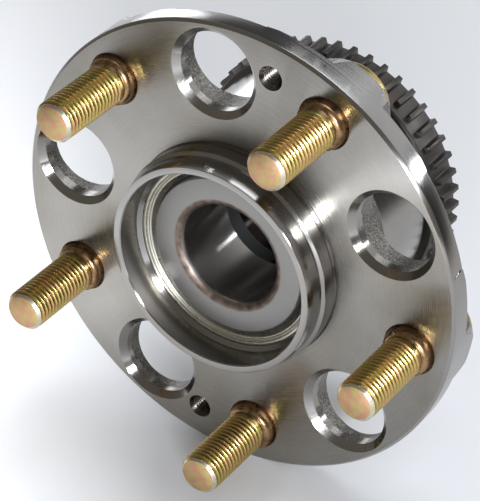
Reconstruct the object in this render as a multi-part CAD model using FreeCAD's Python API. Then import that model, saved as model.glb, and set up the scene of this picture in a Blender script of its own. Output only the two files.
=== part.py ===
import FreeCAD, Part
import math
import os

os.makedirs("parts", exist_ok=True)

# Wheel hub with a double-row angular contact ball bearing and a tone ring.
# The hub turns about the Y axis on two fixed inner rings. The wheel side faces -Y, +Z is up, and
# the origin is on the axis, in the plane of the brake disc's mounting face.
# Lengths are millimetres. Angles are degrees from +X towards +Z. "Front" means the wheel side.

# Inner rings
bore_diameter = 30.0
bore_corner = 2.6
ring_pair_width = 50.2
ring_standout = 3.2
land_wall = 8.75
land_length = 7.2
land_chamfer = 0.5
seam_chamfer = 0.4
clip_recess_width = 5.0
clip_recess_depth = 1.2
clip_clearance = 0.05
clip_inset = 0.02
clip_gap = 2.0

# Balls, raceways and cages
ball_diameter = 9.525
balls_per_row = 13
first_ball_angle = 4.0
pitch_offset = 8.2
contact_angle = 36.0
groove_ratio = 1.04
ball_clearance = 0.02
high_shoulder_drop = 2.2
low_shoulder_drop = 4.3
rib_rise = 2.7
pocket_clearance = 0.15
cage_ring_gap = 0.9
cage_rib_gap = 0.6
cage_closed_side = 6.2
cage_open_side = 2.9
cage_land_gap = 1.5

# Seals
seal_seat_margin = 0.2375
seal_seat_length = 7.0
seal_seat_lead = 0.8
seal_width = 6.4
seal_wall = 0.8
seal_rim_width = 0.7
seal_rim_step = 0.9
seal_ridge_width = 1.3
seal_ridge_rise = 0.35
seal_dish = 2.3
seal_land_gap = 0.75
lip_clearance = 0.05
lip_overlap = 1.2
lip_wall = 0.7
lip_length = 1.9

# Outer ring of the bearing, in one piece with the flange
body_wall = 8.0
body_overhang = 2.0
body_chamfer = 0.8
tone_seat_step = 1.0
tone_seat_length = 6.0
seat_relief_width = 1.0
seat_relief_depth = 0.4

# Pilot for the wheel, register for the brake disc and bore for the grease cap
pilot_height = 12.2
pilot_wall = 2.65
pilot_lead_length = 2.2
pilot_lead_depth = 0.5
register_rise = 1.0
register_height = 5.5
register_step = 0.5
register_relief_width = 1.4
register_relief_depth = 0.5
cap_bore_step = 1.15
cap_bore_margin = 1.0
edge_break = 0.3

# Forged flange
wheel_pitch_circle = 114.3
stud_count = 5
first_stud_angle = 58.0
rim_margin = 12.1
rim_thickness = 6.3
rim_chamfer = 0.8
web_thickness = 9.3
web_fillet = 12.0
rim_turned_length = 6.8
pad_reach = 28.8
pad_rise = 2.9
boss_diameter = 26.0
boss_depth = 12.3
boss_draft = 12.0
window_inset = 3.1
window_diameter = 23.2
window_chamfer = 1.8
disc_screw_offset = 1.95
disc_screw_tap_diameter = 5.0
disc_screw_mouth = 1.1
disc_screw_count = 2

# Wheel studs
stud_thread_diameter = 12.0
stud_standout = 28.4
stud_tip_chamfer = 1.1
stud_neck_depth = 0.2
stud_neck_width = 1.0
stud_knurl_height = 1.2
stud_collar_height = 3.2
stud_collar_round = 2.0
stud_hole_chamfer = 0.6
stud_head_ledge = 2.5
stud_head_thickness = 4.2
stud_head_chamfer = 0.8

# Tone ring
tone_teeth = 48
first_tooth_angle = 5.13
tone_band_wall = 2.4
tooth_height = 2.4
tooth_length = 7.5
tooth_tip_width = 1.8
tooth_root_width = 2.7
tone_overlap = 5.3
tone_overhang = 5.8
tone_chamfer = 0.5

origin = FreeCAD.Vector(0, 0, 0)
hub_axis = FreeCAD.Vector(0, 1, 0)

# Radii, worked out from the bore outwards
bore_radius = bore_diameter / 2
land_radius = bore_radius + land_wall
ball_radius = ball_diameter / 2
pitch_radius = bore_radius + pitch_offset
high_radius = pitch_radius - high_shoulder_drop
low_radius = pitch_radius - low_shoulder_drop
rib_radius = pitch_radius + rib_rise
seal_seat_radius = pitch_radius + ball_radius + seal_seat_margin
seal_inner_radius = land_radius + seal_land_gap
body_radius = seal_seat_radius + body_wall
tone_seat_radius = body_radius - tone_seat_step
tone_root_radius = tone_seat_radius + tone_band_wall
tone_tip_radius = tone_root_radius + tooth_height
cap_bore_radius = seal_seat_radius + cap_bore_step
pilot_radius = cap_bore_radius + pilot_wall
register_radius = pilot_radius + register_rise
stud_circle_radius = wheel_pitch_circle / 2
flange_radius = stud_circle_radius + rim_margin
stud_thread_radius = stud_thread_diameter / 2
stud_knurl_radius = stud_thread_radius + stud_knurl_height

# Places along the axis
ring_front = -ring_standout
ring_width = ring_pair_width / 2
seam = ring_front + ring_width
row_offset = ring_width - land_length - cage_land_gap - cage_closed_side
body_depth = ring_front + ring_pair_width + body_overhang
tone_back = body_depth + tone_overhang
web_back = web_thickness + web_fillet
seal_web_back = ring_front + seal_dish + seal_wall
cap_bore_end = ring_front - cap_bore_margin

stud_step = 360.0 / stud_count
ball_pitch = 360.0 / balls_per_row
groove_radius = ball_radius * groove_ratio
groove_shift = groove_radius - ball_radius - ball_clearance


def point(radius, depth):
    """A point of a turned profile: its distance from the hub axis and its depth along it."""
    return FreeCAD.Vector(radius, depth, 0)


def polar(radius, angle, depth):
    """A point around the hub axis."""
    turn = math.radians(angle)
    return FreeCAD.Vector(radius * math.cos(turn), depth, radius * math.sin(turn))


class Profile:
    """A closed outline of lines and arcs, spun about the Y axis into a turned solid."""

    def __init__(self, radius, depth):
        self.start = point(radius, depth)
        self.here = self.start
        self.edges = []

    def line(self, radius, depth):
        end = point(radius, depth)
        if end.distanceToPoint(self.here) > 1e-6:
            self.edges.append(Part.LineSegment(self.here, end).toShape())
            self.here = end
        return self

    def arc(self, middle, end):
        self.edges.append(Part.Arc(self.here, point(*middle), point(*end)).toShape())
        self.here = point(*end)
        return self

    def spin(self):
        self.line(self.start.x, self.start.y)
        return Part.Face(Part.Wire(self.edges)).revolve(origin, hub_axis, 360)


def ring_solid(inner_radius, outer_radius, front, back):
    outline = Profile(inner_radius, front).line(outer_radius, front)
    return outline.line(outer_radius, back).line(inner_radius, back).spin()


def mirror_row(shape):
    """The same shape for the other row, mirrored in the plane where the inner rings meet."""
    return shape.mirror(FreeCAD.Vector(0, seam, 0), hub_axis)


def turned(shape, angle):
    """A copy of the shape, turned about the hub axis from +X towards +Z."""
    copy = shape.copy()
    copy.rotate(origin, hub_axis, -angle)
    return copy


def groove_centre(sign):
    """Centre of the groove's arc, from the ball's centre: +1 for the outer race, -1 for the inner.

    The shift runs along the line of contact, so each groove touches the ball at the contact angle.
    """
    tilt = math.radians(contact_angle)
    return (-sign * groove_shift * math.cos(tilt), -sign * groove_shift * math.sin(tilt))


def groove_depth_at(radius, sign, side):
    """Depth, from the ball's centre, where the groove's arc reaches a radius."""
    shift_out, shift_deep = groove_centre(sign)
    rise = radius - (pitch_radius + shift_out)
    return shift_deep + side * math.sqrt(groove_radius ** 2 - rise ** 2)


def outer_groove_bottom():
    """Radius of the outer race's groove at its deepest point."""
    return pitch_radius + groove_centre(1)[0] + groove_radius


def hub_back_outline(outline):
    """The turned outline from the flange's rim round the back to the rear end of the body."""
    seat_front = body_depth - tone_seat_length
    relief_front = seat_front - seat_relief_width
    relief_radius = tone_seat_radius - seat_relief_depth
    fillet_radius = body_radius + web_fillet
    middle_radius = fillet_radius - web_fillet * math.sin(math.pi / 4)
    middle_depth = web_back - web_fillet * math.cos(math.pi / 4)
    outline.line(flange_radius - rim_chamfer, 0)
    outline.line(flange_radius, rim_chamfer)
    outline.line(flange_radius, rim_thickness)
    outline.line(fillet_radius, web_thickness)
    outline.arc((middle_radius, middle_depth), (body_radius, web_back))
    outline.line(body_radius, relief_front - body_chamfer)
    outline.line(body_radius - body_chamfer, relief_front)
    outline.line(relief_radius, relief_front)
    outline.line(relief_radius, seat_front - seat_relief_depth)
    outline.line(tone_seat_radius, seat_front)
    outline.line(tone_seat_radius, body_depth - body_chamfer)
    outline.line(tone_seat_radius - body_chamfer, body_depth)


def hub_race_outline(outline):
    """Seal seats, ball grooves and the rib between them, from the rear end to the cap bore."""
    bottom = outer_groove_bottom()
    shift_deep = groove_centre(1)[1]
    reach = groove_depth_at(rib_radius, 1, 1)
    half_turn = math.acos((rib_radius - pitch_radius - groove_centre(1)[0]) / groove_radius) / 2
    middle_radius = pitch_radius + groove_centre(1)[0] + groove_radius * math.cos(half_turn)
    middle_reach = shift_deep + groove_radius * math.sin(half_turn)
    seat_end = ring_front + seal_seat_length
    back_row = seam + row_offset
    front_row = seam - row_offset
    seat_step = seal_seat_radius - bottom
    outline.line(seal_seat_radius + seal_seat_lead, body_depth)
    outline.line(seal_seat_radius, body_depth - seal_seat_lead)
    outline.line(seal_seat_radius, 2 * seam - seat_end)
    outline.line(bottom, 2 * seam - seat_end - seat_step)
    outline.line(bottom, back_row - shift_deep)
    outline.arc((middle_radius, back_row - middle_reach), (rib_radius, back_row - reach))
    outline.line(rib_radius, front_row + reach)
    outline.arc((middle_radius, front_row + middle_reach), (bottom, front_row + shift_deep))
    outline.line(bottom, seat_end + seat_step)
    outline.line(seal_seat_radius, seat_end)


def hub_turning():
    """The hub as it leaves the lathe: pilot, disc register, plain flange, body and races."""
    tip = -pilot_height
    relief_radius = register_radius - register_relief_depth
    seat_mouth = cap_bore_radius - seal_seat_radius
    outline = Profile(cap_bore_radius + edge_break, tip)
    outline.line(pilot_radius - pilot_lead_depth, tip)
    outline.line(pilot_radius, tip + pilot_lead_length)
    outline.line(pilot_radius, -register_height - register_step)
    outline.line(register_radius, -register_height)
    outline.line(register_radius, -register_relief_width)
    outline.line(relief_radius, -register_relief_width + register_relief_depth)
    outline.line(relief_radius, edge_break)
    outline.line(register_radius, edge_break)
    outline.line(register_radius + edge_break, 0)
    hub_back_outline(outline)
    hub_race_outline(outline)
    outline.line(seal_seat_radius, cap_bore_end + seat_mouth)
    outline.line(cap_bore_radius, cap_bore_end)
    outline.line(cap_bore_radius, tip + edge_break)
    return outline.spin()


def stud_pads():
    """Low forged pads that thicken the flange towards each stud, turned off at the rim."""
    pad = Part.makeCone(pad_reach, 0, pad_rise * pad_reach / (pad_reach - boss_diameter / 2),
                        polar(stud_circle_radius, first_stud_angle, rim_thickness), hub_axis)
    pads = Part.Compound([turned(pad, index * stud_step) for index in range(stud_count)])
    height = rim_thickness + pad_rise
    chamfer = height - rim_turned_length
    keep = Profile(body_radius, rim_thickness / 2).line(flange_radius, rim_thickness / 2)
    keep.line(flange_radius, rim_turned_length).line(flange_radius - chamfer, height)
    keep = keep.line(body_radius, height).spin()
    return keep.common(pads)


def stud_bosses():
    """Round forged bosses behind the flange, with draft, cut off flush with the rim."""
    start = rim_thickness / 2
    top_radius = boss_diameter / 2
    root_radius = top_radius + (boss_depth - start) * math.tan(math.radians(boss_draft))
    boss = Part.makeCone(root_radius, top_radius, boss_depth - start,
                         polar(stud_circle_radius, first_stud_angle, start), hub_axis)
    keep = Part.makeCylinder(flange_radius, boss_depth, origin, hub_axis)
    boss = boss.common(keep)
    return [turned(boss, index * stud_step) for index in range(stud_count)]


def drilled_hole(radius, mouth, mouth_depth, depth):
    """A round cutter at the origin along the hub axis, with a conical mouth at the front face."""
    cutter = Profile(0, -mouth_depth).line(mouth, -mouth_depth).line(mouth, 0)
    return cutter.line(radius, mouth_depth).line(radius, depth).line(0, depth).spin()


def placed(shape, radius, angle):
    copy = shape.copy()
    copy.translate(polar(radius, angle, 0))
    return copy


def flange_cutters():
    """Stud holes, lightening windows between the studs and tapped holes for the disc screws."""
    window_radius = window_diameter / 2
    tap_radius = disc_screw_tap_diameter / 2
    stud_mouth = stud_knurl_radius + stud_hole_chamfer
    stud = drilled_hole(stud_knurl_radius, stud_mouth, stud_hole_chamfer, web_back)
    window = drilled_hole(window_radius, window_radius + window_chamfer, window_chamfer, web_back)
    screw = drilled_hole(tap_radius, tap_radius + disc_screw_mouth, disc_screw_mouth, web_back)
    cutters = []
    for index in range(stud_count):
        angle = first_stud_angle + index * stud_step
        cutters.append(placed(stud, stud_circle_radius, angle))
        cutters.append(placed(window, stud_circle_radius - window_inset, angle + stud_step / 2))
    for index in range(disc_screw_count):
        angle = first_stud_angle + stud_step / 4 + index * 360.0 / disc_screw_count
        cutters.append(placed(screw, stud_circle_radius + disc_screw_offset, angle))
    return cutters


def hub_flange():
    hub = hub_turning().fuse([stud_pads()] + stud_bosses())
    return hub.cut(flange_cutters()).removeSplitter()


def inner_ring():
    """The front inner ring: seal land, high shoulder, groove, low shoulder and clip recess."""
    row = seam - row_offset
    recess_radius = bore_radius + clip_recess_depth
    shift_out, shift_deep = groove_centre(-1)
    start_depth = row + groove_depth_at(high_radius, -1, -1)
    end_depth = row + groove_depth_at(low_radius, -1, 1)
    bottom_radius = pitch_radius + shift_out - groove_radius
    bend = bore_corner * (1 - math.cos(math.pi / 4))
    corner_end = (bore_radius + bore_corner, ring_front)
    outline = Profile(bore_radius, ring_front + bore_corner)
    outline.arc((bore_radius + bend, ring_front + bend), corner_end)
    outline.line(land_radius - land_chamfer, ring_front)
    outline.line(land_radius, ring_front + land_chamfer)
    outline.line(land_radius, ring_front + land_length)
    outline.line(high_radius, ring_front + land_length + land_chamfer)
    outline.line(high_radius, start_depth)
    outline.arc((bottom_radius, row + shift_deep), (low_radius, end_depth))
    outline.line(low_radius, seam - seam_chamfer)
    outline.line(low_radius - seam_chamfer, seam)
    outline.line(recess_radius, seam)
    outline.line(recess_radius, seam - clip_recess_width / 2)
    outline.line(bore_radius, seam - clip_recess_width / 2)
    return outline.spin()


def ring_clip():
    """A split band in the recess of the bore, which holds the two inner rings together."""
    inner = bore_radius + clip_inset
    outer = bore_radius + clip_recess_depth - clip_clearance
    half = clip_recess_width / 2 - clip_clearance
    band = ring_solid(inner, outer, seam - half, seam + half)
    slot = Part.makeBox(clip_gap, 4 * half, 2 * outer,
                        FreeCAD.Vector(-clip_gap / 2, seam - 2 * half, -2 * outer))
    return band.cut(slot)


def row_angles(start):
    return [start + index * ball_pitch for index in range(balls_per_row)]


def ball(angle):
    return Part.makeSphere(ball_radius, polar(pitch_radius, angle, seam - row_offset))


def cage(start):
    """Moulded cage of the front row: a ring with a round pocket for each ball.

    The side towards the seal is closed. The balls snap in from the side towards the other row.
    """
    row = seam - row_offset
    closed_end = row - cage_closed_side
    open_end = row + cage_open_side
    body = ring_solid(high_radius + cage_ring_gap, rib_radius - cage_rib_gap, closed_end, open_end)
    pockets = []
    for angle in row_angles(start):
        outward = polar(1, angle, 0)
        foot = polar(pitch_radius - ball_radius, angle, row)
        pocket = Part.makeCylinder(ball_radius + pocket_clearance, ball_diameter, foot, outward)
        pockets.append(pocket)
    return body.cut(pockets)


def seal_case():
    """Pressed steel case of the front seal: a seat wall, a rolled rim and a dished, ridged web."""
    nose = seal_rim_width / 2
    wall_radius = seal_seat_radius - seal_wall
    rim_radius = wall_radius - nose
    ridge_radius = rim_radius - seal_ridge_width / 2
    step = ring_front + seal_rim_step
    outline = Profile(seal_seat_radius, ring_front + seal_width)
    outline.line(seal_seat_radius, ring_front + nose)
    outline.line(seal_seat_radius - nose, ring_front)
    outline.line(rim_radius, ring_front)
    outline.line(rim_radius, step)
    outline.arc((ridge_radius, step - seal_ridge_rise), (rim_radius - seal_ridge_width, step))
    outline.line(seal_inner_radius, ring_front + seal_dish)
    outline.line(seal_inner_radius, seal_web_back)
    outline.line(wall_radius, seal_web_back)
    outline.line(wall_radius, ring_front + seal_width)
    return outline.spin()


def seal_lip():
    """Rubber lip bonded behind the case's web: it runs on the inner ring's land."""
    tip_radius = land_radius + lip_clearance
    nose = seal_web_back - seal_wall / 2
    heel = seal_web_back + lip_wall
    outline = Profile(seal_inner_radius + lip_overlap, seal_web_back)
    outline.line(seal_inner_radius, seal_web_back)
    outline.line(seal_inner_radius, nose)
    outline.line(tip_radius, nose)
    outline.line(tip_radius + lip_clearance, heel)
    outline.line(tip_radius, heel + lip_length / 2)
    outline.line(tip_radius + lip_wall / 2, heel + lip_length)
    outline.line(seal_inner_radius + lip_wall / 2, heel)
    outline.line(seal_inner_radius + lip_overlap, heel)
    return outline.spin()


def wheel_stud(angle):
    """One pressed-in stud: head behind the boss, knurl in the flange, collar and thread."""
    neck_radius = stud_thread_radius - stud_neck_depth
    head_radius = boss_diameter / 2 - stud_head_ledge
    bend = 1 - math.cos(math.pi / 4)
    width = stud_knurl_radius - neck_radius
    head_back = boss_depth + stud_head_thickness
    collar_end = -stud_collar_height
    shoulder = collar_end + stud_collar_round
    outline = Profile(0, -stud_standout)
    outline.line(stud_thread_radius - stud_tip_chamfer, -stud_standout)
    outline.line(stud_thread_radius, -stud_standout + stud_tip_chamfer)
    outline.line(stud_thread_radius, collar_end - stud_neck_width)
    outline.line(neck_radius, collar_end - stud_neck_width)
    outline.line(neck_radius, collar_end)
    middle = (stud_knurl_radius - width * bend, collar_end + stud_collar_round * bend)
    outline.arc(middle, (stud_knurl_radius, shoulder))
    outline.line(stud_knurl_radius, boss_depth)
    outline.line(head_radius, boss_depth)
    outline.line(head_radius, head_back - stud_head_chamfer)
    outline.line(head_radius - stud_head_chamfer, head_back)
    outline.line(0, head_back)
    return placed(outline.spin(), stud_circle_radius, angle)


def tooth_ring():
    """The toothed end: one outline of straight flanks between tip and root arcs, drawn deep."""
    tip_half = math.degrees(tooth_tip_width / 2 / tone_tip_radius)
    root_half = math.degrees(tooth_root_width / 2 / tone_root_radius)
    step = 360.0 / tone_teeth
    front = tone_back - tooth_length
    edges = []
    for index in range(tone_teeth):
        angle = first_tooth_angle + index * step
        foot = polar(tone_root_radius, angle - root_half, front)
        rise = polar(tone_tip_radius, angle - tip_half, front)
        crest = polar(tone_tip_radius, angle, front)
        fall = polar(tone_tip_radius, angle + tip_half, front)
        heel = polar(tone_root_radius, angle + root_half, front)
        valley = polar(tone_root_radius, angle + step / 2, front)
        next_foot = polar(tone_root_radius, angle + step - root_half, front)
        edges.append(Part.LineSegment(foot, rise).toShape())
        edges.append(Part.Arc(rise, crest, fall).toShape())
        edges.append(Part.LineSegment(fall, heel).toShape())
        edges.append(Part.Arc(heel, valley, next_foot).toShape())
    return Part.Face(Part.Wire(edges)).extrude(FreeCAD.Vector(0, tooth_length, 0))


def tone_ring():
    """Toothed ring pressed on the rear seat of the body, for the wheel speed sensor."""
    tone_front = body_depth - tone_overlap
    band_back = tone_back - tooth_length / 2
    band = Profile(0, tone_front).line(tone_root_radius - tone_chamfer, tone_front)
    band.line(tone_root_radius, tone_front + tone_chamfer).line(tone_root_radius, band_back)
    band = band.line(0, band_back).spin()
    hole = Part.makeCylinder(tone_seat_radius, 2 * body_depth, origin, hub_axis)
    return band.fuse(tooth_ring()).cut(hole).removeSplitter()


def save(name, shape):
    shape.exportStep(os.path.join("parts", name + ".step"))
    print(name, len(shape.Solids), "solid", "valid" if shape.isValid() else "not valid")


def save_both_rows(name, shape):
    save(name + "_outboard", shape)
    save(name + "_inboard", mirror_row(shape))


save("hub_flange", hub_flange())
save_both_rows("inner_ring", inner_ring())
save("inner_ring_clip", ring_clip())
save_both_rows("seal_case", seal_case())
save_both_rows("seal_lip", seal_lip())
save("cage_outboard", cage(first_ball_angle))
save("cage_inboard", mirror_row(cage(first_ball_angle + ball_pitch / 2)))
for index, angle in enumerate(row_angles(first_ball_angle)):
    save("ball_outboard_%02d" % (index + 1), ball(angle))
for index, angle in enumerate(row_angles(first_ball_angle + ball_pitch / 2)):
    save("ball_inboard_%02d" % (index + 1), mirror_row(ball(angle)))
for index in range(stud_count):
    save("wheel_stud_%d" % (index + 1), wheel_stud(first_stud_angle + index * stud_step))
save("tone_ring", tone_ring())
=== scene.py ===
import math

import bmesh
import bpy
from mathutils import Matrix, Vector, noise


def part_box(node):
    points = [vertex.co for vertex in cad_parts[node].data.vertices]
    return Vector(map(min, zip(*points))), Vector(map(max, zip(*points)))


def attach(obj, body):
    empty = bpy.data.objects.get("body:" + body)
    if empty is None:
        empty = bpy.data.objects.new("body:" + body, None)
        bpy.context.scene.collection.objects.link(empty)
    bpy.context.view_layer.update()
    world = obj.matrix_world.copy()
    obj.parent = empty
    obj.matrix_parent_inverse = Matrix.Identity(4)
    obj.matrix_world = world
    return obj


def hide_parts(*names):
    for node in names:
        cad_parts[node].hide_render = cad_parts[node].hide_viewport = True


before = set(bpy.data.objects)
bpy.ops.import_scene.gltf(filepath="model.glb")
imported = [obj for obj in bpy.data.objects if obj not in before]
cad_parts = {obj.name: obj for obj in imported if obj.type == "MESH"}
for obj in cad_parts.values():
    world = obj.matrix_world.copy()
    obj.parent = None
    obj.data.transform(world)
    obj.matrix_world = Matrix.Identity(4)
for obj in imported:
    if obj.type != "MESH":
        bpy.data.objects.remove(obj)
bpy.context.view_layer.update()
mm = 0.001
print("frame loaded")


# Camera at the photograph's viewing angle: lengths in mm, angles in degrees.
shot = {
    "azimuth": 34.578,
    "elevation": 32.197,
    "roll": -2.631,
    "distance": 727.43,
    "offCentre": (1.823, 0.052),
    "focalLength": 190.87,
    "sensor": 36.0,
    "nearest": 50.0,
}


def addCamera():
    azimuth, elevation, roll = (math.radians(shot[k]) for k in ("azimuth", "elevation", "roll"))
    back = Vector((math.sin(azimuth) * math.cos(elevation),
                   -math.cos(azimuth) * math.cos(elevation), math.sin(elevation)))
    level = Vector((math.cos(azimuth), math.sin(azimuth), 0))
    upright = back.cross(level)
    right = level * math.cos(roll) + upright * math.sin(roll)
    up = upright * math.cos(roll) - level * math.sin(roll)
    place = back * shot["distance"] + right * shot["offCentre"][0] + up * shot["offCentre"][1]
    lens = bpy.data.cameras.new("camera")
    lens.lens = shot["focalLength"]
    lens.sensor_width = shot["sensor"]
    lens.clip_start = shot["nearest"] * mm
    camera = bpy.data.objects.new("camera", lens)
    camera.matrix_world = Matrix.Translation(place * mm) @ Matrix((right, up, back)).transposed().to_4x4()
    bpy.context.scene.collection.objects.link(camera)
    bpy.context.scene.camera = camera


# A place at a radius from the hub's axis, an angle round it and a depth along it.
def polar(radius, angle, depth):
    turn = math.radians(angle)
    return Vector((radius * math.cos(turn), depth, radius * math.sin(turn))) * mm


# A closed outline of (radius, depth) or (radius, depth, rounding) corners in mm, turned about the
# hub's axis. An outline that starts and ends on the axis is left open there.
def turnedShape(outline, steps=240):
    shape = bmesh.new()
    corners = [shape.verts.new((corner[0] * mm, corner[1] * mm, 0)) for corner in outline]
    chain = list(zip(corners, corners[1:]))
    if outline[0][0] > 0:
        chain.append((corners[-1], corners[0]))
    for here, there in chain:
        shape.edges.new((here, there))
    for corner, vert in zip(outline, corners):
        if len(corner) > 2:
            bmesh.ops.bevel(shape, geom=[vert], offset=corner[2] * mm, offset_type="OFFSET",
                            affect="VERTICES", segments=10 if corner[2] > 1 else 3, profile=0.5,
                            material=-1)
    bmesh.ops.spin(shape, geom=shape.verts[:] + shape.edges[:], cent=(0, 0, 0), axis=(0, 1, 0),
                   dvec=(0, 0, 0), angle=math.tau, steps=steps, use_merge=True, use_duplicate=False)
    bmesh.ops.remove_doubles(shape, verts=shape.verts, dist=1e-7)
    bmesh.ops.recalc_face_normals(shape, faces=shape.faces)
    return shape


# Several shapes in one bmesh, each moved out from the axis to its own angle.
def gathered(shapes, circle, angles):
    whole = bmesh.new()
    for shape, angle in zip(shapes, angles):
        bmesh.ops.translate(shape, verts=shape.verts, vec=polar(circle, angle, 0))
        part = bpy.data.meshes.new("part")
        shape.to_mesh(part)
        shape.free()
        whole.from_mesh(part)
        bpy.data.meshes.remove(part)
    return whole


def placedShapes(outline, circle, angles, steps):
    return gathered([turnedShape(outline, steps) for angle in angles], circle, angles)


def arcCorners(centre, radius, start, end, count):
    turns = [math.radians(start + (end - start) * index / (count - 1)) for index in range(count)]
    return [(centre[0] + radius * math.cos(turn), centre[1] + radius * math.sin(turn)) for turn in turns]


def meshObject(name, shape):
    mesh = bpy.data.meshes.new(name)
    shape.to_mesh(mesh)
    shape.free()
    piece = bpy.data.objects.new(name, mesh)
    bpy.context.scene.collection.objects.link(piece)
    return piece


# Smooth faces, with the edges sharper than the given angle kept crisp.
def shadeByAngle(piece, angle):
    shape = bmesh.new()
    shape.from_mesh(piece.data)
    limit = math.radians(angle)
    for face in shape.faces:
        face.smooth = True
    for edge in shape.edges:
        edge.smooth = len(edge.link_faces) == 2 and edge.calc_face_angle(0) < limit
    shape.to_mesh(piece.data)
    shape.free()


def combine(piece, other, operation):
    change = piece.modifiers.new("combine", "BOOLEAN")
    change.operation = operation
    change.solver = "MANIFOLD"
    change.object = other
    made = piece.evaluated_get(bpy.context.evaluated_depsgraph_get())
    mesh = bpy.data.meshes.new_from_object(made)
    piece.modifiers.clear()
    piece.data = mesh
    bpy.data.objects.remove(other)


def finishPiece(piece, body, nodes, materials):
    piece.data.materials.clear()
    for material in materials:
        piece.data.materials.append(material)
    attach(piece, body)
    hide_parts(*nodes)


# Right-hand screw thread: how far a point stands above the root, from 0 to 1, and how far it is from
# the middle of its groove along the axis.
def threadAt(vert, start, pitch, rootFlat, crestFlat):
    turn = math.atan2(vert.co.x, vert.co.z)
    phase = ((vert.co.y / mm - start) / pitch - turn / math.tau + 0.75) % 1.0
    rise = (abs(2 * phase - 1) - rootFlat) / (1 - rootFlat - crestFlat)
    return max(0.0, min(1.0, rise)), (phase - 0.5) * pitch


def colour(text):
    parts = [int(text[i:i + 2], 16) / 255 for i in (1, 3, 5)]
    return [p / 12.92 if p <= 0.04045 else ((p + 0.055) / 1.055) ** 2.4 for p in parts] + [1.0]


# How many marks of a pattern a metre holds, for marks that are so many mm across.
def perMetre(size):
    return 1 / (size * mm)


# Adds a node and gives the output asked for. An input takes a number, a hex colour or another node's
# output. Inputs that share their names go by number: a Mix has its factor at 0 and its colours at 6
# and 7, and a Map Range has its value, From Min, From Max, To Min and To Max at 0 to 4.
def addNode(tree, kind, output, inputs=None, **settings):
    node = tree.nodes.new("ShaderNode" + kind)
    for name, value in settings.items():
        setattr(node, name, value)
    for name, value in (inputs or {}).items():
        if isinstance(value, bpy.types.NodeSocket):
            tree.links.new(value, node.inputs[name])
        else:
            node.inputs[name].default_value = colour(value) if isinstance(value, str) else value
    return node.outputs[output] if output is not None else None


# An empty material, with the Object coordinates that its patterns are drawn on.
def startMaterial(name):
    material = bpy.data.materials.new(name)
    material.use_nodes = True
    tree = material.node_tree
    tree.nodes.clear()
    return material, tree, addNode(tree, "TexCoord", "Object")


def endMaterial(material, surface):
    shader = addNode(material.node_tree, "BsdfPrincipled", "BSDF", surface)
    addNode(material.node_tree, "OutputMaterial", None, {"Surface": shader})
    return material


# Distance from the hub's axis, in mm.
def radiusFrom(tree, place):
    flat = addNode(tree, "VectorMath", 0, {0: place, 1: (1, 0, 1)}, operation="MULTIPLY")
    length = addNode(tree, "VectorMath", "Value", {0: flat}, operation="LENGTH")
    return addNode(tree, "Math", 0, {0: length, 1: 1 / mm}, operation="MULTIPLY")


# The direction that a lathe tool's marks run in, round the hub's axis.
def toolMarks(tree, place):
    around = addNode(tree, "VectorMath", 0, {0: (0, 1, 0), 1: place}, operation="CROSS_PRODUCT")
    turned = addNode(tree, "VectorTransform", 0, {0: around}, vector_type="VECTOR", convert_from="OBJECT",
                     convert_to="WORLD")
    return addNode(tree, "VectorMath", 0, {0: turned}, operation="NORMALIZE")


# Lathe-turned carbon steel: mid grey, with tool marks round the axis that stretch each highlight
# across them, and a faint warm film of rust-proofing oil. The real marks are finer than 0.3 mm,
# which is as fine as shows.
def turnedSteel(name, base="#A09D98", film="#8C877E", rough=0.26, stretch=0.93, marks=0.2):
    material, tree, place = startMaterial(name)
    depth = addNode(tree, "SeparateXYZ", "Y", {0: place})
    depthInMm = addNode(tree, "Math", 0, {0: depth, 1: 1 / mm}, operation="MULTIPLY")
    section = addNode(tree, "CombineXYZ", 0, {"X": radiusFrom(tree, place), "Y": depthInMm})
    rings = addNode(tree, "TexNoise", "Fac", {"Vector": section, "Scale": 1 / 0.3125, "Detail": 3.0})
    patches = addNode(tree, "TexNoise", "Fac", {"Vector": place, "Scale": perMetre(35.7), "Detail": 3.0})
    oiled = addNode(tree, "MapRange", 0, {0: patches, 1: 0.35, 2: 0.7})
    least, most = rough - 0.04, rough + 0.04
    return endMaterial(material, {
        "Metallic": 1.0,
        "Anisotropic": stretch,
        "Anisotropic Rotation": 0.25,
        "Base Color": addNode(tree, "Mix", 2, {0: oiled, 6: base, 7: film}, data_type="RGBA"),
        "Roughness": addNode(tree, "MapRange", 0, {0: rings, 1: 0.3, 2: 0.7, 3: least, 4: most}),
        "Normal": addNode(tree, "Bump", 0, {"Height": rings, "Strength": marks, "Distance": 0.03 * mm}),
        "Tangent": toolMarks(tree, place),
    })


# Hot-forged steel skin, shot-blasted: dark grey, grained about as coarse as the shot's dents, with
# specks that catch the light.
def forgedSkin(name):
    material, tree, place = startMaterial(name)
    grain = addNode(tree, "TexNoise", "Fac",
                    {"Vector": place, "Scale": perMetre(0.4545), "Detail": 4.0, "Roughness": 0.65})
    dents = addNode(tree, "TexVoronoi", "Distance", {"Vector": place, "Scale": perMetre(0.5556)})
    worn = addNode(tree, "TexNoise", "Fac", {"Vector": place, "Scale": perMetre(6.25), "Detail": 3.0})
    specks = addNode(tree, "MapRange", 0, {0: grain, 1: 0.4, 2: 0.66})
    height = addNode(tree, "Math", 0, {0: grain, 1: dents}, operation="ADD")
    return endMaterial(material, {
        "Metallic": 1.0,
        "Base Color": addNode(tree, "Mix", 2, {0: specks, 6: "#4A4743", 7: "#A09C94"}, data_type="RGBA"),
        "Roughness": addNode(tree, "MapRange", 0, {0: worn, 1: 0.3, 2: 0.7, 3: 0.32, 4: 0.5}),
        "Normal": addNode(tree, "Bump", 0, {"Height": height, "Strength": 0.7, "Distance": 0.18 * mm}),
    })


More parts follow.
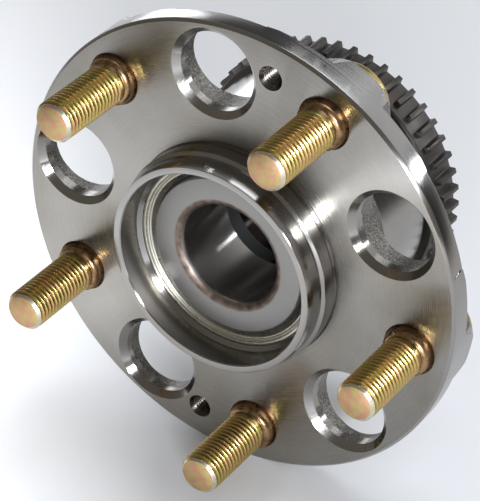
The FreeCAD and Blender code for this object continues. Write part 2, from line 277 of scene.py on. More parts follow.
# Yellow zinc plate on steel: olive gold on the crests, brown on the collar, a darker brown in the
# valleys as painted shade, pink and green drifts where the chromate film is thicker, silvery where the
# tip's edge is worn, and a pale mottled bloom on the tip. The zones are attributes of the stud's own mesh.
def yellowZinc(name):
    material, tree, place = startMaterial(name)
    valleyShade, tip, worn, collar = (addNode(tree, "Attribute", "Fac", attribute_name=zone)
                                 for zone in ("valleyShade", "tip", "worn", "collar"))
    drifts = addNode(tree, "TexNoise", "Fac", {"Vector": place, "Scale": perMetre(7.69), "Detail": 2.0})
    patches = addNode(tree, "TexNoise", "Fac", {"Vector": place, "Scale": perMetre(2.174), "Detail": 4.0})
    grit = addNode(tree, "TexNoise", "Fac", {"Vector": place, "Scale": perMetre(0.6667), "Detail": 3.0})
    film = "#C4A96C"
    layers = ((drifts, 0.4, 0.62, "#B2A962"), (patches, 0.5, 0.7, "#C89874"))
    for pattern, low, high, tint in layers:
        share = addNode(tree, "MapRange", 0, {0: pattern, 1: low, 2: high})
        film = addNode(tree, "Mix", 2, {0: share, 6: film, 7: tint}, data_type="RGBA")
    # Painted shade: the thread's valleys are darkened to brown, most at the root.
    film = addNode(tree, "Mix", 2, {0: valleyShade, 6: film, 7: "#8A683C"}, data_type="RGBA")
    for zone, low, high, first, second in ((collar, 0.4, 0.6, "#7D6244", "#A07F5E"),
                                           (tip, 0.46, 0.54, "#C2957A", "#BBA873")):
        share = addNode(tree, "MapRange", 0, {0: patches, 1: low, 2: high})
        mottled = addNode(tree, "Mix", 2, {0: share, 6: first, 7: second}, data_type="RGBA")
        film = addNode(tree, "Mix", 2, {0: zone, 6: film, 7: mottled}, data_type="RGBA")
    rough = addNode(tree, "MapRange", 0, {0: patches, 1: 0.3, 2: 0.7, 3: 0.22, 4: 0.36})
    return endMaterial(material, {
        "Metallic": 1.0,
        "Base Color": addNode(tree, "Mix", 2, {0: worn, 6: film, 7: "#D6D0BE"}, data_type="RGBA"),
        "Roughness": addNode(tree, "Math", 0, {0: tip, 1: 0.28, 2: rough}, operation="MULTIPLY_ADD"),
        "Normal": addNode(tree, "Bump", 0, {"Height": grit, "Strength": 0.35, "Distance": 0.03 * mm}),
    })


# Ground bearing steel: a dull even grey face, a mottled brown stain on the bore's corner, and a
# glossier bore with grinding marks round it in the wall colour; a near-black wall is painted shade.
def groundSteel(name, wall="#B0ABA5", bore=15.0, corner=2.6):
    material, tree, place = startMaterial(name)
    radius = radiusFrom(tree, place)
    stain = addNode(tree, "TexNoise", "Fac", {"Vector": place, "Scale": perMetre(2.381), "Detail": 4.0})
    mottle = addNode(tree, "MapRange", 0, {0: stain, 1: 0.35, 2: 0.65})
    brown = addNode(tree, "Mix", 2, {0: mottle, 6: "#84756B", 7: "#5C4F47"}, data_type="RGBA")
    inCorner = addNode(tree, "MapRange", 0, {0: radius, 1: bore + corner, 2: bore + 2.0})
    face = addNode(tree, "Mix", 2, {0: inCorner, 6: "#8F8D8A", 7: brown}, data_type="RGBA")
    inBore = addNode(tree, "MapRange", 0, {0: radius, 1: bore + 0.9, 2: bore + 0.05})
    grain = addNode(tree, "TexNoise", "Fac", {"Vector": place, "Scale": perMetre(0.7692), "Detail": 2.0})
    near, far = bore + 0.1, bore + 1.0
    return endMaterial(material, {
        "Metallic": 1.0,
        "Anisotropic": addNode(tree, "MapRange", 0, {0: radius, 1: near, 2: far, 3: 0.85, 4: 0.0}),
        "Anisotropic Rotation": 0.25,
        "Base Color": addNode(tree, "Mix", 2, {0: inBore, 6: face, 7: wall}, data_type="RGBA"),
        "Roughness": addNode(tree, "MapRange", 0, {0: radius, 1: near, 2: far, 3: 0.24, 4: 0.5}),
        "Normal": addNode(tree, "Bump", 0, {"Height": grain, "Strength": 0.15, "Distance": 0.01 * mm}),
        "Tangent": toolMarks(tree, place),
    })


# Pressed sheet steel with a cream zinc plate: satin, and clouded like any plating from a barrel.
def platedSheet(name):
    material, tree, place = startMaterial(name)
    mottle = addNode(tree, "TexNoise", "Fac", {"Vector": place, "Scale": perMetre(3.333), "Detail": 3.0})
    return endMaterial(material, {
        "Metallic": 1.0,
        "Base Color": addNode(tree, "Mix", 2, {0: mottle, 6: "#CDC9BE", 7: "#ABA799"}, data_type="RGBA"),
        "Roughness": addNode(tree, "MapRange", 0, {0: mottle, 1: 0.3, 2: 0.7, 3: 0.24, 4: 0.36}),
    })


# Sintered iron, as pressed: dull, with a grain coarser than the real powder's, which wouldn't show,
# and a little brown with oil.
def sinteredIron(name):
    material, tree, place = startMaterial(name)
    grain = addNode(tree, "TexNoise", "Fac", {"Vector": place, "Scale": perMetre(0.6667), "Detail": 3.0})
    worn = addNode(tree, "TexNoise", "Fac", {"Vector": place, "Scale": perMetre(11.11), "Detail": 3.0})
    return endMaterial(material, {
        "Metallic": 1.0,
        "Base Color": addNode(tree, "Mix", 2, {0: worn, 6: "#5D5955", 7: "#494542"}, data_type="RGBA"),
        "Roughness": addNode(tree, "MapRange", 0, {0: grain, 1: 0.3, 2: 0.7, 3: 0.36, 4: 0.5}),
        "Normal": addNode(tree, "Bump", 0, {"Height": grain, "Strength": 0.3, "Distance": 0.06 * mm}),
    })


# Moulded rubber or nylon: a dull surface with a faint moulded grain.
def mouldedMaterial(name, base, second, rough):
    material, tree, place = startMaterial(name)
    grain = addNode(tree, "TexNoise", "Fac", {"Vector": place, "Scale": perMetre(1.4286), "Detail": 2.0})
    return endMaterial(material, {
        "Base Color": addNode(tree, "Mix", 2, {0: grain, 6: base, 7: second}, data_type="RGBA"),
        "Roughness": rough,
        "Normal": addNode(tree, "Bump", 0, {"Height": grain, "Strength": 0.15, "Distance": 0.05 * mm}),
    })


# Chrome steel balls: lapped to a mirror, with only the faintest cloudiness.
def lappedSteel(name):
    material, tree, place = startMaterial(name)
    cloud = addNode(tree, "TexNoise", "Fac", {"Vector": place, "Scale": perMetre(3.333)})
    return endMaterial(material, {
        "Metallic": 1.0,
        "Base Color": addNode(tree, "Mix", 2, {0: cloud, 6: "#D8D8DA", 7: "#CACACC"}, data_type="RGBA"),
        "Roughness": addNode(tree, "MapRange", 0, {0: cloud, 1: 0.3, 2: 0.7, 3: 0.06, 4: 0.1}),
    })


satinTurned = turnedSteel("turnedSteel")
fineTurned = turnedSteel("fineTurnedSteel", base="#A09E9B", film="#8E8882", rough=0.18, stretch=0.85,
                         marks=0.15)
# The tapped holes' steel is given a dark grey: painted shade inside the holes.
tapped = turnedSteel("shadedTappedSteel", base="#66615B", film="#433E39", rough=0.3, stretch=0.2, marks=0.1)
forged = forgedSkin("shotBlastedForging")
zinc = yellowZinc("yellowZincPlate")
ground = groundSteel("groundBearingSteel")
# The inboard ring's bore is given a near-black wall: painted shade deep inside the bore.
boreShadedSteel = groundSteel("boreShadeBearingSteel", wall="#1D1815")
plated = platedSheet("zincPlatedSheet")
sintered = sinteredIron("sinteredIron")
lapped = lappedSteel("lappedBallSteel")
rubber = mouldedMaterial("nitrileRubber", "#1B1A19", "#252321", 0.6)
nylon = mouldedMaterial("glassFilledNylon", "#B39B70", "#9C8660", 0.5)
blackPlastic = mouldedMaterial("blackNylon", "#0E0D0C", "#151413", 0.6)
print("materials made")


# Sizes of the bearing, in mm and degrees. Depths run from the disc's face towards the car.
bearing = {
    "ringFront": -3.2,
    "seam": 21.9,
    "rowOffset": 10.2,
    "pitchRadius": 23.2,
    "grooveRadius": 4.953,
    "grooveShift": (0.138, 0.1),
    "grooveBottom": 28.015,
    "ribRadius": 25.9,
    "sealSeat": 28.2,
}
# Sizes of the hub, which is the bearing's outer ring.
hub = {
    "flangeRadius": 69.25,
    "rimThickness": 6.3,
    "rimTurned": 6.8,
    "rimChamfer": 0.8,
    "webThickness": 9.3,
    "webFillet": 12.0,
    "bodyRadius": 36.2,
    "bodyShoulder": 42.0,
    "bodyEnd": 49.0,
    "bodyLead": 0.8,
    "toneSeat": 35.2,
    "toneSeatStart": 43.0,
    "toneRelief": 0.4,
    "sealSeatEnd": 40.0,
    "pilotTip": -12.2,
    "pilotEnd": -6.0,
    "pilotRadius": 32.0,
    "pilotLead": (0.5, 2.2),
    "registerRadius": 33.0,
    "registerTip": -5.5,
    "registerEnd": -1.4,
    "reliefDepth": 0.5,
    "reliefFoot": 0.3,
    "capBore": 29.35,
    "capBoreEnd": -4.2,
    "capBoreLead": 0.3,
    "studCircle": 57.15,
    "firstStud": 58.0,
    "studHole": 7.2,
    "studHoleLead": 0.6,
    "padReach": 28.8,
    "padRise": 2.9,
    "bossRadius": 13.0,
    "bossRoot": 14.95,
    "bossDepth": 12.3,
    "bossEdge": 0.6,
    "windowCircle": 54.05,
    "windowRadius": 11.6,
    "windowChamfer": 1.8,
    "screwCircle": 59.1,
    "screwMinor": 2.5,
    "screwMajor": 3.0,
    "screwPitch": 1.0,
    "screwFlats": (0.125, 0.25),
    "screwMouth": 3.6,
    "skinRoughness": 0.1,
    "drilledDepth": 4.2,
}
studAngles = [hub["firstStud"] + 72 * index for index in range(5)]
windowAngles = [angle + 36 for angle in studAngles]
screwAngles = [hub["firstStud"] + 18, hub["firstStud"] + 198]


# Pilot, disc register and the relief groove in front of the disc's face.
def hubFront():
    h = hub
    tip, wall, register = h["pilotTip"], h["pilotRadius"], h["registerRadius"]
    leadWidth, leadLength = h["pilotLead"]
    relief = register - h["reliefDepth"]
    return [(h["capBore"] + h["capBoreLead"], tip), (wall - leadWidth, tip, 0.25),
            (wall, tip + leadLength, 0.3), (wall, h["pilotEnd"]), (register, h["registerTip"], 0.15),
            (register, h["registerEnd"]), (relief, h["registerEnd"] + h["reliefDepth"]),
            (relief, h["reliefFoot"]), (register, h["reliefFoot"]), (register + h["reliefFoot"], 0)]


# The flange's rim and its web, which has a corner to the mm for the forged skin's unevenness.
def hubFlange():
    h = hub
    edge = h["flangeRadius"]
    rim = [(edge - h["rimChamfer"], 0, 0.12), (edge, h["rimChamfer"], 0.12), (edge, h["rimThickness"], 0.5)]
    filletRadius = h["bodyRadius"] + h["webFillet"]
    slope = (h["webThickness"] - h["rimThickness"]) / (edge - filletRadius)
    web = [(edge - step, h["rimThickness"] + step * slope) for step in range(2, int(edge - filletRadius))]
    centre = (filletRadius, h["webThickness"] + h["webFillet"])
    return rim + web + arcCorners(centre, h["webFillet"], -90, -180, 27)


# The body's rear end, with the tone ring's seat outside and the seal's seat inside.
def hubRear():
    h = hub
    shoulder, end, lead = h["bodyShoulder"], h["bodyEnd"], h["bodyLead"]
    seat, seatStart, relief = h["toneSeat"], h["toneSeatStart"], h["toneRelief"]
    return [(h["bodyRadius"], shoulder - lead), (h["bodyRadius"] - lead, shoulder),
            (seat - relief, shoulder), (seat - relief, seatStart - relief), (seat, seatStart),
            (seat, end - lead), (seat - lead, end), (bearing["sealSeat"] + lead, end),
            (bearing["sealSeat"], end - lead), (bearing["sealSeat"], h["sealSeatEnd"])]


# Two ball grooves with a rib between them, then the front seal's seat and the grease cap's bore.
def hubBore():
    h, b = hub, bearing
    shiftOut, shiftDeep = b["grooveShift"]
    reach = math.degrees(math.acos((b["ribRadius"] - b["pitchRadius"] + shiftOut) / b["grooveRadius"]))
    centre = b["pitchRadius"] - shiftOut
    backRow = arcCorners((centre, b["seam"] + b["rowOffset"] + shiftDeep), b["grooveRadius"], 0, -reach, 13)
    frontRow = arcCorners((centre, b["seam"] - b["rowOffset"] - shiftDeep), b["grooveRadius"], reach, 0, 13)
    frontSeatEnd = 2 * b["seam"] - h["sealSeatEnd"]
    step = 0.2
    slopeEnd = h["capBoreEnd"] + h["capBore"] - b["sealSeat"]
    return [(b["grooveBottom"], h["sealSeatEnd"] - step), *backRow, *frontRow,
            (b["grooveBottom"], frontSeatEnd + step), (b["sealSeat"], frontSeatEnd),
            (b["sealSeat"], slopeEnd), (h["capBore"], h["capBoreEnd"]),
            (h["capBore"], h["pilotTip"] + h["capBoreLead"])]


# Moves the chosen vertices in and out along their normals, unevenly, by about the given mm.
def roughen(shape, amount, inside):
    for vert in shape.verts:
        if inside(vert.co):
            height = noise.noise(vert.co * 900) * 0.6 + noise.noise(vert.co * 300)
            vert.co += vert.normal * (height * amount * mm)


# The windows' walls have a corner each 0.6 mm, for the forged skin's unevenness.
def windowCutter():
    h = hub
    mouth = h["windowRadius"] + h["windowChamfer"]
    firstCorner, step, corners = 3.0, 0.6, 31
    depths = [h["windowChamfer"]] + [firstCorner + step * index for index in range(corners)]
    walls = [(h["windowRadius"], depth) for depth in depths]
    outline = [(0, -1), (mouth, -1), (mouth, 0), *walls, (0, depths[-1])]
    shape = placedShapes(outline, h["windowCircle"], windowAngles, 120)
    shape.normal_update()
    roughen(shape, h["skinRoughness"], lambda co: co.y > h["drilledDepth"] * mm)
    return meshObject("windowCutter", shape)


# The tapped holes' walls have a corner each 0.1 mm, which the thread's turns are drawn from.
def screwCutter():
    h = hub
    minor, major, mouth = h["screwMinor"], h["screwMajor"], h["screwMouth"]
    depths = [mouth - minor + 0.1 * step for step in range(1, 100)]
    walls = [(major, depth) for depth in depths]
    outline = [(0, -1), (mouth, -1), (mouth, 0), *walls, (0, depths[-1])]
    shapes = [turnedShape(outline, 48) for angle in screwAngles]
    for vert in [vert for shape in shapes for vert in shape.verts]:
        radius = math.hypot(vert.co.x, vert.co.z) / mm
        if vert.co.y > 0 and radius > 1:
            height = threadAt(vert, 0, h["screwPitch"], *h["screwFlats"])[0]
            wanted = max(minor + (major - minor) * height, mouth - vert.co.y / mm)
            vert.co.x *= wanted / radius
            vert.co.z *= wanted / radius
    return meshObject("screwCutter", gathered(shapes, h["screwCircle"], screwAngles))


# Which of the hub's materials a face has: 0 satin turned, 1 finely turned, 2 forged skin, 3 tapped.
def hubFinish(centre, normal):
    h = hub
    radius = math.hypot(centre.x, centre.z) / mm
    depth = centre.y / mm
    window = min((centre - polar(h["windowCircle"], angle, depth)).length / mm for angle in windowAngles)
    screw = min((centre - polar(h["screwCircle"], angle, depth)).length / mm for angle in screwAngles)
    if depth > h["windowChamfer"] and window < h["windowRadius"] + 1.0 and abs(normal.y) < 0.8:
        return 2 if depth > h["drilledDepth"] + noise.noise(centre * 120) * 1.6 else 0
    if window < h["windowRadius"] + h["windowChamfer"] and 0 < depth < h["windowChamfer"] + 0.1:
        return 1
    if screw < h["screwMouth"] - 0.3:
        return 3
    if radius > h["flangeRadius"] - 0.9 and depth > 0.05:
        return 1
    if depth > h["rimThickness"] - 0.3 and radius > h["bodyRadius"] + 0.05:
        outward = Vector((centre.x, 0, centre.z)).normalized().dot(normal)
        cutFlush = radius > h["flangeRadius"] - 0.3 and outward > 0.97
        padChamfer = radius > h["flangeRadius"] - 3.5 and outward > 0.6 and normal.y > 0.6
        spotFace = depth > h["bossDepth"] - 0.05 and normal.y > 0.99
        return 1 if cutFlush or padChamfer or spotFace else 2
    if depth < 0 or radius < h["registerRadius"] + 0.2 or radius < h["bodyRadius"] + 0.1 and depth > 10:
        return 1
    return 0


# Forged pads round the studs, sloping down to the web and turned off round the rim.
def makePads(low):
    h = hub
    full = h["rimThickness"] + h["padRise"]
    apex = h["rimThickness"] + h["padRise"] * h["padReach"] / (h["padReach"] - h["bossRadius"])
    outline = [(0, low), (h["padReach"], low), (h["padReach"], h["rimThickness"]), (0, apex)]
    pads = meshObject("pads", placedShapes(outline, h["studCircle"], studAngles, 96))
    edge = h["flangeRadius"]
    envelope = [(0, low - 1), (edge, low - 1), (edge, h["rimTurned"]),
                (edge - full + h["rimTurned"], full), (0, full)]
    combine(pads, meshObject("envelope", turnedShape(envelope, 300)), "INTERSECT")
    return pads


# Bosses that the studs' heads sit on, cut flush with the flange's edge.
def makeBosses(low):
    h = hub
    deep, edge = h["bossDepth"], h["flangeRadius"]
    outline = [(0, low), (h["bossRoot"], low), (h["bossRadius"], deep, h["bossEdge"]), (0, deep)]
    bosses = meshObject("bosses", placedShapes(outline, h["studCircle"], studAngles, 96))
    inRim = [(0, 0), (edge, 0), (edge, deep + 1), (0, deep + 1)]
    combine(bosses, meshObject("inRim", turnedShape(inRim, 300)), "INTERSECT")
    return bosses


def makeHub():
    h = hub
    body = turnedShape(hubFront() + hubFlange() + hubRear() + hubBore(), 300)
    body.normal_update()
    inner, outer = h["bodyRadius"] + 0.5, h["flangeRadius"] - 1.5
    front = h["rimThickness"] - 0.05
    roughen(body, h["skinRoughness"],
            lambda co: co.y > front * mm and inner < math.hypot(co.x, co.z) / mm < outer)
    piece = meshObject("hub", body)
    low = h["rimThickness"] / 2
    pads, bosses = makePads(low), makeBosses(low)
    combine(piece, pads, "UNION")
    combine(piece, bosses, "UNION")
    bore, lead = h["studHole"], h["studHoleLead"]
    beyond = h["bossDepth"] + 1.7
    outline = [(0, -1), (bore + lead, -1), (bore + lead, 0), (bore, lead), (bore, beyond), (0, beyond)]
    holes = meshObject("studHoles", placedShapes(outline, h["studCircle"], studAngles, 96))
    for cutter in (holes, windowCutter(), screwCutter()):
        combine(piece, cutter, "DIFFERENCE")
    finishPiece(piece, "hub", ["hub_flange"],
                [satinTurned, fineTurned, forged, tapped])
    for polygon in piece.data.polygons:
        polygon.material_index = hubFinish(polygon.center, polygon.normal)
    shadeByAngle(piece, 24)
    return piece


hubPiece = makeHub()
print("hub made:", len(hubPiece.data.polygons), "faces")


# Sizes of a wheel stud. Its tip and the back of its head are where the CAD stud's are.
stud = {
    "threadRadius": 6.0,
    "rootRadius": 5.1,
    "pitch": 1.5,
    "rootFlat": 0.182,
    "crestFlat": 0.125,
    "threadRows": 200,
    "tipChamfer": 1.1,
    "neckRadius": 5.8,
    "neckWidth": 1.0,
    "grooveRunOut": 0.7,
    "collarRadius": 7.2,
    "collarHeight": 3.2,
    "collarRounding": 1.1,
    "filmEnd": 8.0,
    "headRadius": 10.5,
    "headThickness": 4.2,
}


# Draws the thread into the plain shank and marks the zones for the plating's colours and painted shade.
def cutThread(shape, tip, threadEnd):
    s = stud
    valleyShade, face, worn, collar = (shape.verts.layers.float.new(zone)
                                  for zone in ("valleyShade", "tip", "worn", "collar"))
    for vert in shape.verts:
        depth, radius = vert.co.y / mm, math.hypot(vert.co.x, vert.co.z) / mm
        vert[collar] = 1.0 if threadEnd + 0.2 < depth < s["filmEnd"] else 0.0
        vert[face] = 1.0 if depth < tip + 0.02 else 0.0
        vert[worn] = 0.8 if tip + 0.05 < depth < tip + s["tipChamfer"] else 0.0
        if depth < threadEnd and radius > 1:
            height, away = threadAt(vert, tip - s["pitch"], s["pitch"], s["rootFlat"], s["crestFlat"])
            wanted = s["rootRadius"] + (s["threadRadius"] - s["rootRadius"]) * height
            if depth - away < threadEnd - s["grooveRunOut"] and wanted < radius:
                # How deep the point lies in its valley sets its painted shade.
                vert[valleyShade] = 1.0 - height
                vert.co.x *= wanted / radius
                vert.co.z *= wanted / radius


def makeStud(number):
    s = stud
    node = "wheel_stud_%d" % number
    low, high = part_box(node)
    tip, head = low.y / mm, high.y / mm
    inset, radius, rows = s["tipChamfer"], s["threadRadius"], s["threadRows"]
    threadEnd = -s["collarHeight"] - s["neckWidth"]
    length = threadEnd - tip - inset
    chamfer = [(radius - inset * (1 - index / 10), tip + inset * index / 10) for index in range(10)]
    threads = [(radius, tip + inset + length * index / rows) for index in range(rows + 1)]
    seat = head - s["headThickness"]
    collar = [(s["neckRadius"], threadEnd + 0.05), (s["neckRadius"], -s["collarHeight"], 0.2),
              (s["collarRadius"] - 0.1, 0.4 - s["collarHeight"], s["collarRounding"]),
              (s["collarRadius"], seat)]
    headEnd = [(s["headRadius"], seat, 0.4), (s["headRadius"], head, 0.9), (0, head)]
    shape = turnedShape([(0, tip), *chamfer, *threads, *collar, *headEnd], 120)
    cutThread(shape, tip, threadEnd)
    centre = (low + high) / 2
    bmesh.ops.translate(shape, verts=shape.verts, vec=(centre.x, 0, centre.z))
    piece = meshObject("stud%d" % number, shape)
    shadeByAngle(piece, 50)
    finishPiece(piece, "hub", [node], [zinc])


for number in range(1, 6):
    makeStud(number)
print("studs made")


# Sizes of the inner rings.
innerRing = {
    "bore": 15.0,
    "corner": 2.6,
    "land": 23.75,
    "landEnd": 4.0,
    "highShoulder": 21.0,
    "lowShoulder": 18.9,
    "recess": 16.2,
    "recessHalf": 2.5,
}


# The inboard half of the bearing is the outboard half's mirror image about the seam.
def mirrorInboard(shape):
    bmesh.ops.scale(shape, verts=shape.verts, vec=(1, -1, 1))
    bmesh.ops.translate(shape, verts=shape.verts, vec=(0, 2 * bearing["seam"] * mm, 0))
    bmesh.ops.recalc_face_normals(shape, faces=shape.faces)


# Makes a piece at one end of the bearing, named for its row.
def makeRowPiece(row, name, outline, body, nodeStart, crease, material):
    shape = turnedShape(outline)
    if row == "inboard":
        mirrorInboard(shape)
    piece = meshObject(name + row.capitalize(), shape)
    shadeByAngle(piece, crease)
    finishPiece(piece, body, [nodeStart + row], [material])


def innerRingOutline():
    r, b = innerRing, bearing
    front, seam = b["ringFront"], b["seam"]
    shiftOut, shiftDeep = b["grooveShift"]
    centre = (b["pitchRadius"] + shiftOut, seam - b["rowOffset"] + shiftDeep)
    start, end = (math.degrees(math.acos((r[shoulder] - centre[0]) / b["grooveRadius"]))
                  for shoulder in ("highShoulder", "lowShoulder"))
    groove = arcCorners(centre, b["grooveRadius"], -start, end - 360, 15)
    return [(r["bore"], front, r["corner"]), (r["land"], front, 0.5), (r["land"], r["landEnd"], 0.3),
            (r["highShoulder"], r["landEnd"] + 0.5), *groove, (r["lowShoulder"], seam, 0.4),
            (r["recess"], seam), (r["recess"], seam - r["recessHalf"]),
            (r["bore"], seam - r["recessHalf"])]


for row, steel in (("outboard", ground), ("inboard", boreShadedSteel)):
    makeRowPiece(row, "innerRing", innerRingOutline(), "inner_rings", "inner_ring_", 24,
                 steel)
print("inner rings made")


# Sizes of the seals: a pressed steel case with a rubber lip behind it. The ridges are corners of
# (radius, depth behind the case's front, rounding).
seal = {
    "wall": 0.8,
    "caseEnd": 3.2,
    "nose": 0.35,
    "ridges": ((27.1, 0.0, 0.25), (27.0, 0.75, 0.2), (26.65, 0.95, 0.0), (26.3, 0.55, 0.3),
               (25.75, 0.55, 0.4), (25.4, 1.15, 0.3), (24.9, 1.9, 0.4)),
    "innerRadius": 24.5,
    "dish": 2.3,
    "webBack": -0.1,
    "lipTip": 23.8,
    "lipWall": 0.7,
    "lipOverlap": 1.2,
    "lipEdge": 1.65,
    "lipLength": 2.6,
}


def sealCaseOutline():
    s = seal
    front, seat, inner = bearing["ringFront"], bearing["sealSeat"], s["innerRadius"]
    wall = seat - s["wall"]
    ridges = [(radius, front + depth, rounding) if rounding else (radius, front + depth)
              for radius, depth, rounding in s["ridges"]]
    return [(seat, s["caseEnd"]), (seat, front + s["nose"], 0.3), (seat - s["nose"], front, 0.2),
            *ridges, (inner, front + s["dish"], 0.2), (inner, s["webBack"]), (wall, s["webBack"]),
            (wall, s["caseEnd"])]


def sealLipOutline():
    s = seal
    inner, back, tip, overlap = s["innerRadius"], s["webBack"], s["lipTip"], s["lipOverlap"]
    nose, heel = back - s["wall"] / 2, back + s["lipWall"]
    return [(inner + overlap, back), (inner, back), (inner, nose), (tip, nose, 0.1), (tip + 0.05, heel),
            (tip, back + s["lipEdge"], 0.1), (tip + 0.35, back + s["lipLength"], 0.15),
            (inner + s["lipWall"] / 2, heel), (inner + overlap, heel)]


for row in ("outboard", "inboard"):
    makeRowPiece(row, "sealCase", sealCaseOutline(), "hub", "seal_case_", 30, plated)
    makeRowPiece(row, "sealLip", sealLipOutline(), "hub", "seal_lip_", 30, rubber)
print("seals made")


# Sizes of the tone ring.
tone = {
    "teeth": 48,
    "firstTooth": 5.13,
    "seat": 35.2,
    "rootRadius": 38.2,
    "tipRadius": 40.0,
    "front": 43.7,
    "frontChamfer": 0.5,
    "toothFront": 46.4,
    "back": 54.8,
    "tipWidth": 1.5,
    "rootWidth": 2.1,
    "edgeBreak": 0.15,
}


# Four corners to a tooth: its foot, the two ends of its tip, and its other foot.
def toothCorner(index, footRadius, tipRadius, depth):
    t = tone
    foot = math.degrees(t["rootWidth"] / 2 / t["rootRadius"])
    top = math.degrees(t["tipWidth"] / 2 / t["tipRadius"])
    corners = ((-foot, footRadius), (-top, tipRadius), (top, tipRadius), (foot, footRadius))
    angle, radius = corners[index % 4]
    return polar(radius, t["firstTooth"] + index // 4 * 360 / t["teeth"] + angle, depth)


# One loop of corners is drawn along the ring's section and back to where it began.
def makeToneRing():
    t = tone
    shape = bmesh.new()
    order = shape.verts.layers.int.new("order")
    circle = bmesh.ops.create_circle(shape, segments=4 * t["teeth"], radius=1)["verts"]
    for index, vert in enumerate(circle):
        vert[order] = index
    seat, root, tip = t["seat"], t["rootRadius"], t["tipRadius"]
    front, chamfer = t["front"], t["frontChamfer"]
    loop = shape.edges[:]
    sections = [(seat, seat, front), (root - chamfer, root - chamfer, front), (root, root, front + chamfer),
                (root, root, t["toothFront"]), (root, tip, t["toothFront"]), (root, tip, t["back"]),
                (seat, seat, t["back"])]
    for count, section in enumerate(sections + sections[:1]):
        if count:
            made = bmesh.ops.extrude_edge_only(shape, edges=loop)["geom"]
            loop = [item for item in made if isinstance(item, bmesh.types.BMEdge)
                    and all(vert in made for vert in item.verts)]
        for vert in {vert for edge in loop for vert in edge.verts}:
            vert.co = toothCorner(vert[order], *section)
    bmesh.ops.remove_doubles(shape, verts=shape.verts, dist=1e-6)
    bmesh.ops.dissolve_degenerate(shape, edges=shape.edges, dist=1e-6)
    bmesh.ops.recalc_face_normals(shape, faces=shape.faces)
    sharp = [edge for edge in shape.edges if edge.calc_face_angle(0) > math.radians(35)
             and min(math.hypot(v.co.x, v.co.z) for v in edge.verts) > (root - 0.1) * mm]
    bmesh.ops.bevel(shape, geom=sharp, offset=t["edgeBreak"] * mm, offset_type="OFFSET", affect="EDGES",
                    segments=2, profile=0.5, material=-1, clamp_overlap=True)
    bmesh.ops.recalc_face_normals(shape, faces=shape.faces)
    piece = meshObject("toneRing", shape)
    shadeByAngle(piece, 30)
    finishPiece(piece, "hub", ["tone_ring"], [sintered])


makeToneRing()
print("tone ring made")


# Hidden pieces keep their CAD shape, and get their materials here.
for name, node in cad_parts.items():
    for start, material in (("ball", lapped), ("cage", nylon), ("inner_ring_clip", blackPlastic)):
        if name.startswith(start):
            node.data.materials.clear()
            node.data.materials.append(material)
print("hidden pieces coloured")


# Floor and background. The floor's height is in mm, and its fades are distances in metres.
studio = {
    "floorHeight": -69.3,
    "floorSize": 6.0,
    "floorTones": ("#ECEDEF", "#F4F4F5"),
    "floorFade": (0.6, 1.2),
    "cornerSide": (0.7, 0.7, 0),
    "cornerFade": (0.18, 0.32),
    "glowTone": "#FBFCFF",
    "glowStrength": 0.76,
    "glowSide": (-0.8, -0.6, 0),
    "glowRise": (0.024, 0.1),
    "glowFall": (0.14, 0.34),
    "glowLeft": 0.15,
    "frontTone": "#7E7972",
    "backTone": "#F2F4F8",
    "backRise": (-0.1, 0.6),
    "darkParts": (((0.7, 0.7, 0.05), "#2E2D2C", 0.93, 0.98), ((-0.25, 0.7, 0.65), "#5A5C5E", 0.86, 0.95)),
    "viewTone": "#E9ECF0",
}
# Each lamp stands in a direction from the hub, at a distance in metres, and has its longer side along
# longWay. The key and rear strips draw the white streaks on the turned steel.
lamps = {
    "keyStrip": {"direction": (0.55, -0.814, 0.188), "distance": 1.0, "size": (0.36, 0.1), "power": 12.0,
                 "longWay": (0.54, 0.73, 0.4)},
    "rearStrip": {"direction": (0.66, 0.7, 0.28), "distance": 1.0, "size": (0.3, 0.08), "power": 1.4,
                  "longWay": (0.63, -0.71, 0.28)},
    "leftStrip": {"direction": (-0.68, 0.7, 0.22), "distance": 1.0, "size": (0.4, 0.2), "power": 0.8,
                  "longWay": (0, 0, 1)},
    "topSoftbox": {"direction": (0.2, 0.35, 1.0), "distance": 1.4, "size": (0.8, 0.8), "power": 8.0,
                   "longWay": (1, 0, 0)},
}
lampColour = (0.88, 0.93, 1.0)


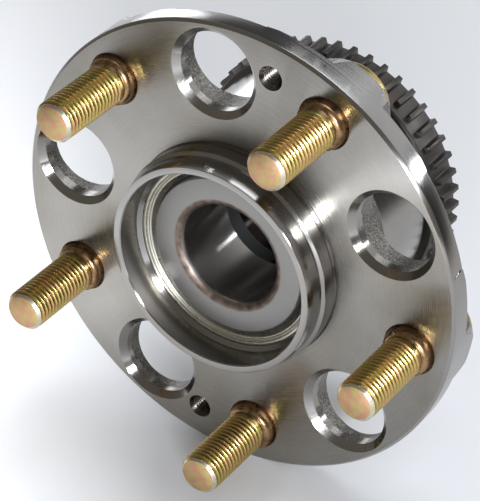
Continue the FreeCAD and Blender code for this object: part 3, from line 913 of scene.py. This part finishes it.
# Matt white board. To the camera and in reflections its front left shows brighter than it is lit,
# away from the hub's shadow, and it fades into the background far out and at the right rear.
def addFloor():
    s = studio
    shape = bmesh.new()
    bmesh.ops.create_grid(shape, x_segments=1, y_segments=1, size=s["floorSize"] / 2)
    bmesh.ops.translate(shape, verts=shape.verts, vec=(0, 0, s["floorHeight"] * mm))
    floor = meshObject("floor", shape)
    material, tree, place = startMaterial("whiteBoard")
    first, second = s["floorTones"]
    mottle = addNode(tree, "TexNoise", "Fac", {"Vector": place, "Scale": perMetre(333.3), "Detail": 2.0})
    away = addNode(tree, "VectorMath", "Value", {0: place}, operation="LENGTH")
    toCorner = addNode(tree, "VectorMath", "Value", {0: s["cornerSide"], 1: place}, operation="DOT_PRODUCT")
    toGlow = addNode(tree, "VectorMath", "Value", {0: s["glowSide"], 1: place}, operation="DOT_PRODUCT")
    fades = {}
    for name, distance, start, end in (("floorFade", away, 1.0, 0.0), ("cornerFade", toCorner, 1.0, 0.0),
                                       ("glowRise", toGlow, 0.0, s["glowStrength"]),
                                       ("glowFall", away, 1.0, s["glowLeft"])):
        near, far = s[name]
        fades[name] = addNode(tree, "MapRange", 0, {0: distance, 1: near, 2: far, 3: start, 4: end})
    glow = addNode(tree, "Math", 0, {0: fades["glowRise"], 1: fades["glowFall"]}, operation="MULTIPLY")
    cameraRay, glossyRay = (addNode(tree, "LightPath", ray) for ray in ("Is Camera Ray", "Is Glossy Ray"))
    seen = addNode(tree, "Math", 0, {0: cameraRay, 1: glossyRay}, operation="MAXIMUM")
    edges = {0: fades["floorFade"], 1: fades["cornerFade"]}
    floor.data.materials.append(endMaterial(material, {
        "Base Color": addNode(tree, "Mix", 2, {0: mottle, 6: first, 7: second}, data_type="RGBA"),
        "Roughness": 0.7,
        "Alpha": addNode(tree, "Math", 0, edges, operation="MINIMUM"),
        "Emission Color": s["glowTone"],
        "Emission Strength": addNode(tree, "Math", 0, {0: glow, 1: seen}, operation="MULTIPLY"),
    }))


def addLamp(name, direction, distance, size, power, longWay):
    light = bpy.data.lights.new(name, "AREA")
    light.shape = "RECTANGLE"
    light.size, light.size_y = size
    light.energy = power
    light.color = lampColour
    lamp = bpy.data.objects.new(name, light)
    away = Vector(direction).normalized()
    across = away.cross(Vector(longWay)).normalized()
    turn = Matrix((across.cross(away), across, away)).transposed().to_4x4()
    lamp.matrix_world = Matrix.Translation(away * distance) @ turn
    bpy.context.scene.collection.objects.link(lamp)


# Bright behind, dim in front, and darker overhead and low down at the right behind the hub, as in a
# room with one white wall; the camera sees it as a pale backdrop.
def addWorld():
    s = studio
    world = bpy.data.worlds.new("studio")
    world.use_nodes = True
    tree = world.node_tree
    tree.nodes.clear()
    way = addNode(tree, "TexCoord", "Generated")
    low, high = s["backRise"]
    rearward = addNode(tree, "SeparateXYZ", "Y", {0: way})
    behind = addNode(tree, "MapRange", 0, {0: rearward, 1: low, 2: high})
    room = addNode(tree, "Mix", 2, {0: behind, 6: s["frontTone"], 7: s["backTone"]}, data_type="RGBA")
    for direction, tint, wide, tight in s["darkParts"]:
        toward = addNode(tree, "VectorMath", "Value", {0: Vector(direction).normalized(), 1: way},
                         operation="DOT_PRODUCT")
        share = addNode(tree, "MapRange", 0, {0: toward, 1: wide, 2: tight})
        room = addNode(tree, "Mix", 2, {0: share, 6: room, 7: tint}, data_type="RGBA")
    cameraRay = addNode(tree, "LightPath", "Is Camera Ray")
    shown = addNode(tree, "Mix", 2, {0: cameraRay, 6: room, 7: s["viewTone"]}, data_type="RGBA")
    sky = addNode(tree, "Background", 0, {"Color": shown, "Strength": 1.0})
    addNode(tree, "OutputWorld", None, {"Surface": sky})
    bpy.context.scene.world = world


addFloor()
addWorld()
for name, lamp in lamps.items():
    addLamp(name, **lamp)
addCamera()
bpy.context.scene.view_settings.view_transform = "Standard"
print("floor, light and camera set")
